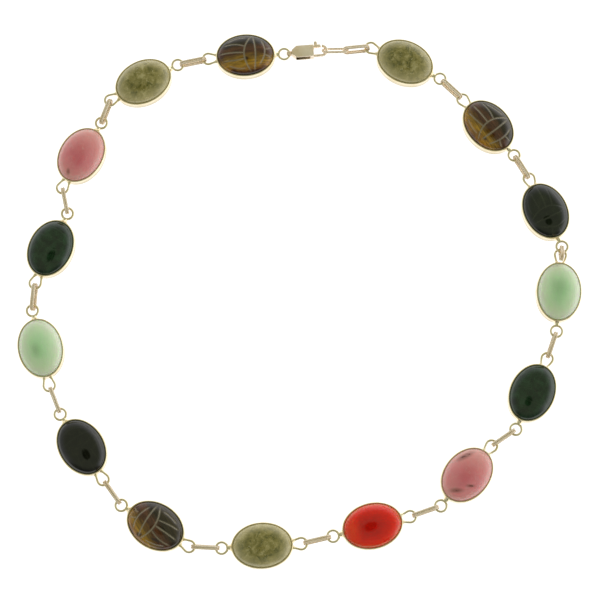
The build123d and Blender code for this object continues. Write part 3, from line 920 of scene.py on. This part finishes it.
# Clasp, measured from the middle of its tail eye towards its nose. The rows are: plates and
# the fold and root between them, tail eye, its neck, hook, rivet, lever, its nub, and the painted
# shade in its slot.
claspSizes = {
    "height": 2.8, "width": 3.0, "plate": 0.4, "tailStart": 0.6, "tailWidth": 1.0,
    "tailTaper": 1.2, "plateEnd": 6.1, "soft": 0.07, "slotStart": 1.6, "foldShare": 0.9,
    "rootLength": 0.9, "rootInset": 0.01, "sunk": 0.1, "innerSoft": 0.05,
    "eyeHole": 0.46, "eyeWall": 0.28, "eyeWidth": 0.9, "eyeSteps": 32, "eyeSoft": 0.08,
    "eyeHoleSoft": (0.05, 0.06),
    "neckStart": 0.12, "neckEnd": 1.0, "neckInset": 0.04, "neckLower": 0.03, "neckSoft": 0.06,
    "reach": 9.8, "hookWire": 0.35, "hookThickness": 0.475, "hookRound": 1.25, "hookEnd": 85,
    "hookSunk": 0.2, "hookSteps": 30, "hookSides": 20,
    "pinAlong": 5.55, "pinAcross": 0.7, "pin": 0.35, "pinHead": 0.02, "pinTip": 0.02,
    "pinEdge": 0.3, "pinSteps": 6, "pinSides": 24,
    "hub": 0.72, "hubPlay": 0.06, "leverWidth": 0.7, "endGap": 0.18, "bevel": 0.18,
    "gateBack": 0.2, "gateHeel": 0.45, "gateCheek": 0.02, "gateSoft": 0.12,
    "nub": 0.8, "nubRise": 0.9, "nubAlong": 6.75, "nubSunk": 0.2, "nubShare": 0.98,
    "nubSteps": 16, "nubSoft": 0.13,
    "tarnishAndShadePlay": 0.02, "tarnishAndShadeEnd": 0.5,
}


# the clasp's own sides give its heading, and the lever's axis its place
def claspPlace():
    triangles = trianglesOf("clasp_body")
    cross = crossesOf(triangles)
    area = np.linalg.norm(cross, axis=1) / 2
    # upright triangles over 0.3 square millimetres
    flat = (area > 0.3) & (np.abs(cross[:, 2]) < 1e-3 * area)
    turns = np.arctan2(cross[flat, 1], cross[flat, 0])
    fourth = np.angle((area[flat] * np.exp(4j * turns)).sum()) / 4
    toNose = mainAxes(trianglesOf("end_link"))[0] - mainAxes(triangles)[0]
    rough = atan2(toNose[1], toNose[0])
    heading = fourth + round((rough - fourth) / (pi / 2)) * pi / 2
    along = Vector((cos(heading), sin(heading), 0))
    across = Vector((-sin(heading), cos(heading), 0))
    pin = Vector(frame["joints"][0]["pos_m"]) / mm
    eye = pin - along * claspSizes["pinAlong"] - across * claspSizes["pinAcross"]
    return placeMatrix((eye.x, eye.y, 0), along, (0, 0, 1))


# flat piece with soft edges from an outline, between two heights
def softSlab(name, outline, low, high, soft):
    shell = bmesh.new()
    bottom = [shell.verts.new((x, y, low)) for x, y in outline]
    top = [shell.verts.new((x, y, high)) for x, y in outline]
    count = len(outline)
    shell.faces.new(bottom[::-1])
    shell.faces.new(top)
    for i in range(count):
        j = (i + 1) % count
        shell.faces.new((bottom[i], bottom[j], top[j], top[i]))
    shell.normal_update()
    # only real corners are softened, not the steps of a round outline
    edges = [e for e in shell.edges if e.calc_face_angle(0) > radians(25)]
    bmesh.ops.bevel(
        shell, geom=edges, offset=soft, segments=3, profile=0.5, affect="EDGES", clamp_overlap=True
    )
    bmesh.ops.recalc_face_normals(shell, faces=shell.faces)
    mesh = bpy.data.meshes.new(name)
    shell.to_mesh(mesh)
    shell.free()
    return mesh


def roundOutline(x, y, radius, start=0.0, end=360.0, steps=32, close=False):
    turns = np.linspace(radians(start), radians(end), steps, endpoint=close)
    return [(x + radius * cos(a), y + radius * sin(a)) for a in turns]


# lines that body and lever share: half the width, the middle height, the hook's shank, and
# how far along the middle of its nose is
def claspLines():
    half = claspSizes["width"] / 2
    nose = claspSizes["reach"] - claspSizes["hookWire"] - claspSizes["hookRound"]
    return half, claspSizes["height"] / 2, claspSizes["hookWire"] - half, nose


def claspBodyMesh():
    size = claspSizes
    half, level, shank, nose = claspLines()
    tail, tailSide = size["tailStart"], size["tailWidth"] / 2
    shoulder, end = tail + size["tailTaper"], size["plateEnd"]
    outline = [
        (tail, -tailSide), (shoulder, -half), (end, -half), (end, half), (shoulder, half),
        (tail, tailSide),
    ]
    foldSide = half * size["foldShare"]
    fold = [
        (tail, -tailSide), (size["slotStart"], -foldSide), (size["slotStart"], foldSide),
        (tail, tailSide),
    ]
    rootStart, rootLow = end - size["rootLength"], size["rootInset"] - half
    rootHigh = shank + size["hookWire"]
    root = [(rootStart, rootLow), (end, rootLow), (end, rootHigh), (rootStart, rootHigh)]
    upper = size["height"] - size["plate"]
    low, high = size["plate"] - size["sunk"], upper + size["sunk"]
    parts = [
        softSlab("bottomPlate", outline, 0.0, size["plate"], size["soft"]),
        softSlab("topPlate", outline, upper, size["height"], size["soft"]),
        softSlab("fold", fold, low, high, size["innerSoft"]),
        softSlab("root", root, low, high, size["innerSoft"]),
    ]
    # tail eye, a rounded band about a crosswise hole, and its neck
    inner = size["eyeHole"]
    outer = inner + size["eyeWall"]
    side = size["eyeWidth"] / 2
    soft = size["eyeSoft"]
    outwards, sideways = size["eyeHoleSoft"]
    band = [
        (inner, -side + sideways), (inner + outwards, -side), (outer - soft, -side),
        (outer, -side + soft), (outer, side - soft), (outer - soft, side),
        (inner + outwards, side), (inner, side - sideways),
    ]
    turns = np.linspace(0, 2 * pi, size["eyeSteps"], endpoint=False)
    rings = [
        [(radius * cos(a), y, level + radius * sin(a)) for a in turns] for radius, y in band
    ]
    parts.append(loftRings("eye", rings, True))
    start, end, side = inner + size["neckStart"], size["neckEnd"], side - size["neckInset"]
    neck = [(start, -side), (end, -side), (end, side), (start, side)]
    rise = outer - size["neckLower"]
    parts.append(softSlab("neck", neck, level - rise, level + rise, size["neckSoft"]))
    # hook from the root round the nose
    path = [(rootStart + size["hookSunk"], shank), (size["plateEnd"], shank)]
    path += roundOutline(
        nose, shank + size["hookRound"], size["hookRound"], -90, size["hookEnd"],
        size["hookSteps"], True,
    )
    hook = wireAlong(
        "hook", [(x, y, 0) for x, y in path], size["hookWire"], False, size["hookSides"], satinGold
    )
    hook.transform(Matrix.Diagonal((1, 1, size["hookThickness"] / size["hookWire"], 1)))
    hook.transform(Matrix.Translation((0, 0, level)))
    parts.append(hook)
    return joinMeshes("clasp_body", parts)


def claspLeverMesh():
    size = claspSizes
    half, level, shank, nose = claspLines()
    tip = nose + (size["hookRound"] - size["hookWire"]) * cos(radians(size["hookEnd"]))
    gateEnd = tip - size["endGap"]
    top = shank + 2 * size["hookRound"] + size["hookWire"]
    bottom = top - size["leverWidth"]
    gate = [
        (size["pinAlong"] - size["gateBack"], bottom - size["leverWidth"] * size["gateHeel"]),
        (size["plateEnd"], bottom), (gateEnd, bottom), (gateEnd - size["bevel"], top),
        (size["nubAlong"], top),
        (size["pinAlong"], size["pinAcross"] + size["hub"] - size["gateCheek"]),
    ]
    radius = size["nub"] / 2
    nubCentre = top + size["nubRise"] - radius
    nub = [(size["nubAlong"] + radius, bottom + size["nubSunk"])]
    nub += roundOutline(size["nubAlong"], nubCentre, radius, 0, 180, size["nubSteps"], True)
    nub += [(size["nubAlong"] - radius, bottom + size["nubSunk"])]
    hub = roundOutline(size["pinAlong"], size["pinAcross"], size["hub"])
    low = size["plate"] + size["hubPlay"]
    thick = size["hookThickness"]
    nubThick = thick * size["nubShare"]
    parts = [
        softSlab("gate", gate, level - thick, level + thick, size["gateSoft"]),
        softSlab("nub", nub, level - nubThick, level + nubThick, size["nubSoft"]),
        softSlab("hub", hub, low, size["height"] - low, size["innerSoft"]),
    ]
    return joinMeshes("clasp_lever", parts)


def claspPinMesh():
    size = claspSizes
    profile = [(0.0, size["pin"]), (size["height"] + size["pinHead"], size["pin"])]
    profile += [
        (size["height"] + size["pinHead"] * sin(a), max(size["pin"] * cos(a), size["pinTip"]))
        for a in np.linspace(size["pinEdge"], pi / 2, size["pinSteps"])
    ]
    side = [
        [
            (x, y, z)
            for x, y in roundOutline(
                size["pinAlong"], size["pinAcross"], radius, steps=size["pinSides"]
            )
        ]
        for z, radius in profile
    ]
    return loftRings("clasp_pin", side, False)


# painted shade: a dark brown in the slot between the clasp's plates
def claspSlotShade(x, y, z):
    size = claspSizes
    low = size["plate"] - size["tarnishAndShadePlay"]
    between = (z > low) & (z < size["height"] - low)
    inside = (x > size["tailStart"]) & (x < size["plateEnd"] - size["tarnishAndShadeEnd"])
    return np.where(between & inside, 1.0, 0.0)


claspAt = claspPlace()
for part, mesh, body, tarnishAndShade in (
    ("clasp_body", claspBodyMesh(), "necklace", claspSlotShade),
    ("clasp_lever", claspLeverMesh(), "lever", None),
    ("clasp_pin", claspPinMesh(), "necklace", None),
):
    addPiece(f"gold_{part}", mesh, claspAt, satinGold, body, [part], 30, tarnishAndShade)
print("clasp made")

cameraSizes = {
    "target": (-0.07, -0.95, 0.0), "distance": 480.0, "tilt": 11, "lens": 116.2, "sensor": 36.0,
}
tilt = radians(cameraSizes["tilt"])
towardsCamera = Vector((0, -sin(tilt), cos(tilt)))

# White acrylic lit from behind, in a tent that is brightest low down and to the right, dim and
# a little green overhead, and open on the near side, with the camera as a dark patch
studio = {
    "floorSide": 3.0, "floorDrop": 0.00003, "floorColour": "#5a5a5a", "floorGlow": 1.15,
    "ceiling": "#adb29a", "toRight": 0.45,
    "camera": {"From Min": 0.970, "From Max": 0.988, "To Min": 1.0, "To Max": 0.15},
    # the direction's axis, its value at the start and at the end, and what is given at each
    "open": ("Y", -0.40, -0.78, 1.0, 0.15), "foot": ("Z", 0.35, 0.05, 1.0, 1.35),
    "wall": ("Z", 0.70, 0.20, 0.0, 1.0),
}
floorMesh = bpy.data.meshes.new("acrylic")
reach, drop = studio["floorSide"] / 2, -studio["floorDrop"]
corners = [(-reach, -reach, drop), (reach, -reach, drop), (reach, reach, drop), (-reach, reach, drop)]
floorMesh.from_pydata(corners, [], [(0, 1, 2, 3)])
floor = newObject("acrylic", floorMesh)
acrylic, _, _ = newMaterial(
    "white_acrylic", Roughness=0.4, Base_Color=linear(studio["floorColour"]),
    Emission_Color=(1, 1, 1, 1), Emission_Strength=studio["floorGlow"],
)
floorMesh.materials.append(acrylic)

world = bpy.data.worlds.new("lightTent")
bpy.context.scene.world = world
world.use_nodes = True
tent = world.node_tree
direction = addNode(tent, "ShaderNodeTexCoord").outputs["Generated"]
axes = addNode(tent, "ShaderNodeSeparateXYZ", None, {"Vector": direction})
steps = {}
for name in ("open", "foot", "wall"):
    axis, start, end, first, last = studio[name]
    steps[name] = addNode(
        tent, "ShaderNodeMapRange",
        {"From Min": start, "From Max": end, "To Min": first, "To Max": last},
        {"Value": axes.outputs[axis]}, interpolation_type="SMOOTHSTEP",
    )
sideways = addNode(
    tent, "ShaderNodeMath", {1: studio["toRight"], 2: 1.0}, {0: axes.outputs["X"]},
    operation="MULTIPLY_ADD",
)
around = addNode(
    tent, "ShaderNodeMath", None, {0: sideways, 1: steps["open"]}, operation="MULTIPLY"
)
wall = addNode(
    tent, "ShaderNodeMath", None, {0: around, 1: steps["foot"]}, operation="MULTIPLY"
)
ceiling = addNode(
    tent, "ShaderNodeMix", {"A": linear(studio["ceiling"])},
    {"Factor": steps["wall"], "B": wall}, data_type="RGBA",
)
towards = addNode(
    tent, "ShaderNodeVectorMath", {1: towardsCamera}, {0: direction}, operation="DOT_PRODUCT"
)
clear = addNode(
    tent, "ShaderNodeMapRange", studio["camera"], {"Value": towards.outputs["Value"]}
)
tent.links.new(ceiling.outputs["Result"], tent.nodes["Background"].inputs["Color"])
tent.links.new(clear.outputs["Result"], tent.nodes["Background"].inputs["Strength"])

cameraData = bpy.data.cameras.new("camera")
cameraData.sensor_fit = "HORIZONTAL"
cameraData.sensor_width = cameraSizes["sensor"]
cameraData.lens = cameraSizes["lens"]
cameraData.clip_start = 0.01
camera = newObject("camera", cameraData)
aim = Vector(cameraSizes["target"]) * mm
camera.location = aim + towardsCamera * cameraSizes["distance"] * mm
camera.rotation_euler = (tilt, 0, 0)
bpy.context.scene.camera = camera
bpy.context.scene.view_settings.view_transform = "Standard"
print("floor, light and camera set")
